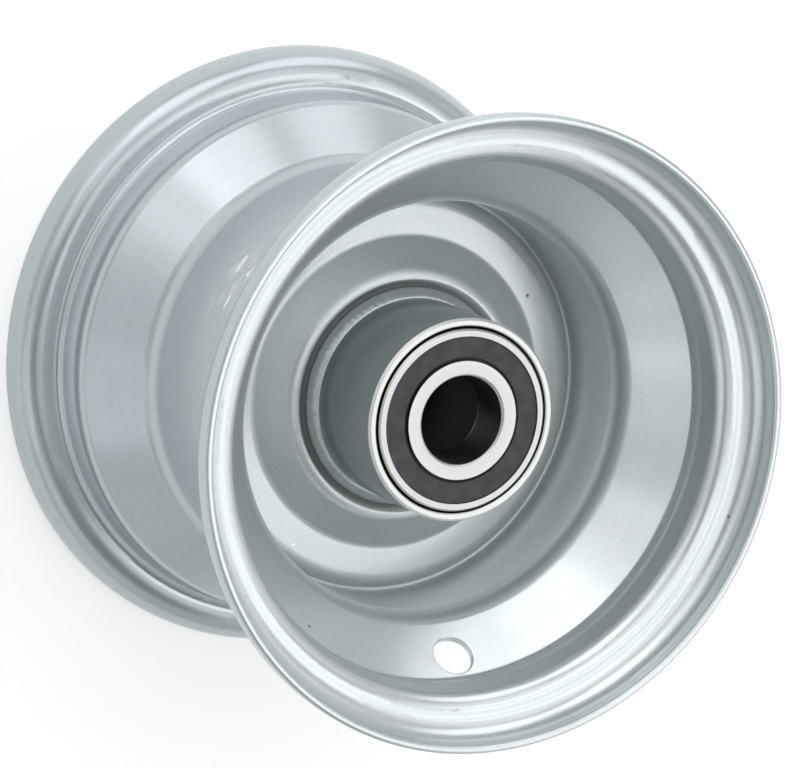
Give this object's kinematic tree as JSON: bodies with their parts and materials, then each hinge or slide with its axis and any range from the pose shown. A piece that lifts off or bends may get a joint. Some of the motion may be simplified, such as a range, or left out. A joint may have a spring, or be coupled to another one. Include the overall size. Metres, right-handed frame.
{
  "type": "wheel rim",
  "caption": "Small steel drop-centre wheel rim with a pressed disc and a hub tube on sealed ball bearings, for an implement axle.",
  "frame": {"origin": "the wheel's centre: on the wheel's axis, halfway between the two flanges", "axes": "+Z along the wheel's axis, out of the front bearing; +X towards the valve hole; the wheel lies flat on its back flange"},
  "size_m": [0.18, 0.18, 0.138],
  "materials": {
    "zinc_paint": "silver paint on steel, semi-gloss with a fine grain",
    "zinc_weld": "the same silver paint over weld beads, semi-gloss",
    "bearing_steel": "ground bearing steel, satin",
    "ball_steel": "polished bearing steel",
    "cage_steel": "pressed steel strip, satin",
    "seal_rubber": "matt black nitrile rubber"
  },
  "bodies": {
    "wheel": {"rim_barrel": "zinc_paint", "wheel_disc": "zinc_paint", "hub_tube": "zinc_paint", "hub_weld_front": "zinc_weld", "hub_weld_back": "zinc_weld", "disc_weld": "zinc_weld", "front_outer_ring": "bearing_steel", "front_outer_seal": "seal_rubber", "front_inner_seal": "seal_rubber", "back_outer_ring": "bearing_steel", "back_outer_seal": "seal_rubber", "back_inner_seal": "seal_rubber"},
    "front_inner_ring": {"front_inner_ring": "bearing_steel"},
    "front_ball_set": {"front_balls": "ball_steel", "front_outer_cage": "cage_steel", "front_inner_cage": "cage_steel", "front_cage_rivets": "cage_steel"},
    "back_inner_ring": {"back_inner_ring": "bearing_steel"},
    "back_ball_set": {"back_balls": "ball_steel", "back_outer_cage": "cage_steel", "back_inner_cage": "cage_steel", "back_cage_rivets": "cage_steel"}
  },
  "joints": [
    {"name": "front_ring_spin", "type": "hinge", "parent": "wheel", "child": "front_inner_ring", "pos_m": [0, 0, 0.0379], "axis": [0, 0, 1], "continuous": true},
    {"name": "front_ball_set_spin", "type": "hinge", "parent": "wheel", "child": "front_ball_set", "pos_m": [0, 0, 0.0379], "axis": [0, 0, 1], "continuous": true},
    {"name": "back_ring_spin", "type": "hinge", "parent": "wheel", "child": "back_inner_ring", "pos_m": [0, 0, -0.0379], "axis": [0, 0, 1], "continuous": true},
    {"name": "back_ball_set_spin", "type": "hinge", "parent": "wheel", "child": "back_ball_set", "pos_m": [0, 0, -0.0379], "axis": [0, 0, 1], "continuous": true}
  ],
  "couplings": [
    {"joint": "front_ball_set_spin", "follows": "front_ring_spin", "ratio": 0.39833},
    {"joint": "back_ball_set_spin", "follows": "back_ring_spin", "ratio": 0.39833}
  ]
}
